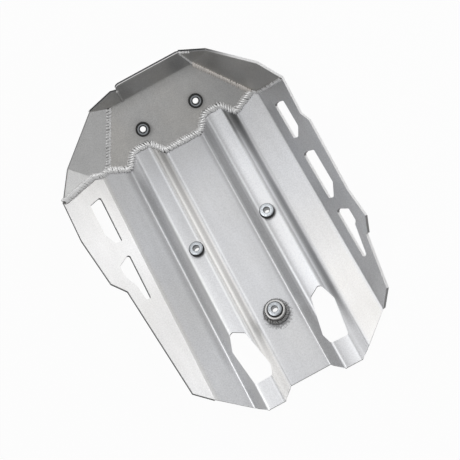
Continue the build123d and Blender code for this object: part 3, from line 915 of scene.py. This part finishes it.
def turned_ring(section, seat):
    """Spin a half section, given as (radius, height) in mm, round a seat's axis."""
    bm = bmesh.new()
    corners = [bm.verts.new((radius * MM, 0, height * MM)) for radius, height in section]
    for first, second in zip(corners, corners[1:] + corners[:1]):
        bm.edges.new((first, second))
    bmesh.ops.spin(
        bm, geom=bm.verts[:] + bm.edges[:], cent=(0, 0, 0), axis=(0, 0, 1),
        angle=2 * pi, steps=SPIN_STEPS, use_merge=True,
    )
    bmesh.ops.remove_doubles(bm, verts=bm.verts, dist=SAME_SPOT)
    bmesh.ops.recalc_face_normals(bm, faces=bm.faces)
    rims = [e for e in bm.edges if e.calc_face_angle() > RIM_ANGLE]
    bmesh.ops.bevel(
        bm, geom=rims, offset=RIM_BREAK, segments=EDGE_STEPS, profile=0.5,
        affect="EDGES", clamp_overlap=True, material=-1,
    )
    bmesh.ops.transform(bm, matrix=seat, verts=bm.verts)
    return bm


# %% [markdown]
# ## Sections of the bushes
# A bush in the sheet has a neck through the hole and a head above it, and the flange of its
# sleeve sits on the head. On the nose a lip of rubber reaches over the flange, and the bore is
# countersunk. The rear bush fills its tube and has no neck. A section is a few (radius, height)
# pairs in millimetres, and its heights are measured from the upper face of the sheet.

# %% Sections of the bushes and sleeves
BORE, SLEEVE, SLEEVE_FLANGE = 4.25, 6.0, 9.5
NECK, HEAD = 8.0, 10.5
FOOT, BUSH_TOP, SLEEVE_TOP = -6, 6, 8
REAR_FOOT, REAR_BUSH_TOP, REAR_SLEEVE_TOP = 3, 14, 16.5
CHAMFER, COUNTERSINK = 0.4, 1.5
LIP, LIP_REACH = 0.5, 7.7


def sleeve_section(foot, seat, top, chamfer):
    """Half section of a flanged sleeve: its foot, the underside of its flange, and its top."""
    return [
        (BORE, foot), (SLEEVE, foot), (SLEEVE, seat), (SLEEVE_FLANGE, seat),
        (SLEEVE_FLANGE, top), (BORE + chamfer, top), (BORE, top - chamfer),
    ]


def plain_section():
    """Half section of a bush: a neck through the sheet and a head above it."""
    neck = [(SLEEVE, FOOT), (NECK, FOOT), (NECK, 0)]
    return neck + [(HEAD, 0), (HEAD, BUSH_TOP), (SLEEVE, BUSH_TOP)]


def lipped_section():
    """Half section of a bush whose lip holds the flange of its sleeve down."""
    neck = [(SLEEVE, FOOT), (NECK, FOOT), (NECK, 0)]
    lip = [(HEAD, SLEEVE_TOP + LIP), (LIP_REACH, SLEEVE_TOP + LIP), (LIP_REACH, SLEEVE_TOP)]
    pocket = [(SLEEVE_FLANGE, SLEEVE_TOP), (SLEEVE_FLANGE, BUSH_TOP), (SLEEVE, BUSH_TOP)]
    return neck + [(HEAD, 0)] + lip + pocket


def boss_section():
    """Half section of the rear bush, which fills the boss tube and has no neck."""
    wall = [(TUBE_BORE, REAR_FOOT), (TUBE_BORE, REAR_BUSH_TOP)]
    return [(SLEEVE, REAR_FOOT)] + wall + [(SLEEVE, REAR_BUSH_TOP)]


def sections_of(name, tilt):
    """Half sections of one bush and of its sleeve."""
    if name == "rear":
        return boss_section(), sleeve_section(REAR_FOOT, REAR_BUSH_TOP, REAR_SLEEVE_TOP, CHAMFER)
    if tilt:
        return lipped_section(), sleeve_section(FOOT, BUSH_TOP, SLEEVE_TOP, COUNTERSINK)
    return plain_section(), sleeve_section(FOOT, BUSH_TOP, SLEEVE_TOP, CHAMFER)


# %% [markdown]
# ## The five bushes
# Two bushes sit on the ribs, two on the sloping nose, and one in the rear boss. Each is spun at
# the origin and then put on its seat, tilted with the nose where it sits there. The sleeve on
# the right rib is the cleanest of the five, so its zinc is brighter.

# %% The five bushes
NOSE_TILT = radians(NOSE_SLOPE)
SEATS = {
    "mid_left": (place(-55, 128.5, RIB_TOP), 0),
    "mid_right": (place(55, 128.5, RIB_TOP), 0),
    "front_left": (place(-42.5, 324.24, 25.5), NOSE_TILT),
    "front_right": (place(42.5, 324.24, 25.5), NOSE_TILT),
    "rear": (place(0, 0, FLAT_TOP), 0),
}
BORE_SHADE, COUNTERSINK_SHADE = 4.7 * MM, 5.8 * MM
NEW_ZINC, WORN_ZINC = 0.97, 0.72

for name, (spot, tilt) in SEATS.items():
    seat = Matrix.Translation(spot) @ Matrix.Rotation(tilt, 4, "X")
    rubber, steel = sections_of(name, tilt)
    bush = new_piece(name + "_bush", turned_ring(rubber, seat), "rubber", black_rubber)
    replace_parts(bush, name + "_grommet")
    dark_to = COUNTERSINK_SHADE if tilt else BORE_SHADE
    bright = NEW_ZINC if name == "mid_right" else WORN_ZINC
    zinc = steel_finish("zinc_steel_" + name, spot, tilt, dark_to, bright)
    sleeve = new_piece(name + "_flanged_sleeve", turned_ring(steel, seat), "sleeve_steel", zinc)
    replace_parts(sleeve, name + "_sleeve")

# %% [markdown]
# ## The boss tube
# The rear boss is a short piece of tube stood on the sheet. Its heights are read from its solid,
# so it stands where the solid does, and it is spun so that its rims can be broken like those of
# the sleeves. It has the satin finish of the nose.

# %% Boss tube
tube_low, tube_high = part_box("rear_boss_tube")
foot, top = tube_low[2] / MM, tube_high[2] / MM
tube = [(TUBE_BORE, foot), (TUBE, foot), (TUBE, top), (TUBE_BORE, top)]
boss_tube = new_piece("boss_tube", turned_ring(tube, Matrix()), "aluminium_sheet", nose_sheet)
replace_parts(boss_tube, "rear_boss_tube")
print("boss tube from", foot, "to", top, "mm")

# %% [markdown]
# ## The weld that was ground down
# The short weld between the flange and the left flap was ground flush, so it shows no ripples.
# Its solid already has the right shape, and it only needs a finish.

# %% The weld that was ground down
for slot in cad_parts["left_flange_weld"].material_slots:
    slot.link = "OBJECT"
    slot.material = nose_sheet
print("left_flange_weld has", nose_sheet.name)

# %% [markdown]
# ## The floor
# The plate lies on a white floor that melts into the background. A floor that is only painted
# white comes out grey wherever the lamps are weak, and stronger lamps would bleach the metal. So
# the camera and the reflections see a floor that mostly glows by itself. The small share of
# paint that is left keeps the plate's shadow. The floor lies just below the plate's underside.

# %% Floor
FLOOR_HALF, FLOOR_DROP = 20, 0.6 * MM
FLOOR_PAINT, FLOOR_GLOW = 0.9, 0.95


def floor_finish():
    """White paint that mostly glows for the camera and for reflections."""
    material = bpy.data.materials.new("white_floor")
    material.use_nodes = True
    tree = material.node_tree
    tree.nodes.clear()
    start = Signal(tree)
    camera_ray = start.node("ShaderNodeLightPath", out="Is Camera Ray")
    glossy_ray = start.node("ShaderNodeLightPath", out="Is Glossy Ray")
    clear_ray = start.node("ShaderNodeLightPath", out="Is Transmission Ray")
    seen = start.maths("MAXIMUM", camera_ray, start.maths("MAXIMUM", glossy_ray, clear_ray))
    paint = start.node("ShaderNodeBsdfDiffuse", sockets={"Color": grey(FLOOR_PAINT)})
    glow = start.node("ShaderNodeEmission", sockets={"Color": grey(1.0), "Strength": 1.0})
    mixed = {0: seen * FLOOR_GLOW, 1: paint, 2: glow}
    surface = start.node("ShaderNodeMixShader", sockets=mixed)
    start.node("ShaderNodeOutputMaterial", sockets={"Surface": surface})
    return material


bm = bmesh.new()
bmesh.ops.create_grid(bm, x_segments=1, y_segments=1, size=FLOOR_HALF)
mesh = bpy.data.meshes.new("floor")
bm.to_mesh(mesh)
bm.free()
mesh.materials.append(floor_finish())
floor = bpy.data.objects.new("floor", mesh)
floor.location.z = -FLOOR_DROP
bpy.context.collection.objects.link(floor)
print("floor at", round(floor.location.z / MM, 2), "mm")

# %% [markdown]
# ## The lamps
# Satin metal shows each lamp as a broad glow, and how bright a panel looks depends on which lamp
# it faces. One big lamp would leave half of the folds without form. So seven soft boxes hang
# above and round the plate, each for the panels that face it, and all aim at the same spot. The
# world fills in the rest at a low level. Together they are weak enough that a colour renders
# about as it is written.

# %% Lamps
AIM = Vector((0, 130, 0)) * MM
WORLD_LEVEL = 0.3


def softbox(name, spot, size, power):
    """A square area lamp, with its spot and size in metres, aimed at the plate's middle."""
    lamp = bpy.data.lights.new(name, "AREA")
    lamp.shape = "SQUARE"
    lamp.size = size
    lamp.energy = power
    holder = bpy.data.objects.new(name, lamp)
    bpy.context.collection.objects.link(holder)
    aim = (Vector(spot) - AIM).to_track_quat("Z", "Y").to_matrix().to_4x4()
    holder.matrix_world = Matrix.Translation(Vector(spot)) @ aim
    print(name, power, "W")


softbox("front_corner_box", (2.0, 2.0, 1.5), 1.4, 7.0)
softbox("right_box", (1.3, 0.85, 0.8), 0.6, 1.3)
softbox("right_top_box", (2.1, 0.6, 2.1), 1.4, 5.4)
softbox("nose_top_box", (0.0, 1.15, 2.7), 1.4, 5.2)
softbox("left_top_box", (-1.2, 0.1, 2.7), 1.4, 13.5)
softbox("low_rear_box", (0.9, -1.2, 0.55), 0.8, 0.9)
softbox("low_right_box", (1.5, 0.05, 0.45), 0.5, 1.1)

world = bpy.data.worlds.new("room")
bpy.context.scene.world = world
world.use_nodes = True
sky = world.node_tree.nodes["Background"].inputs
sky["Color"].default_value = grey(1.0)
sky["Strength"].default_value = WORLD_LEVEL
bpy.context.scene.view_settings.view_transform = "Standard"

# %% [markdown]
# ## The last update
# The view layer is brought up to date once more at the end.


bpy.context.view_layer.update()
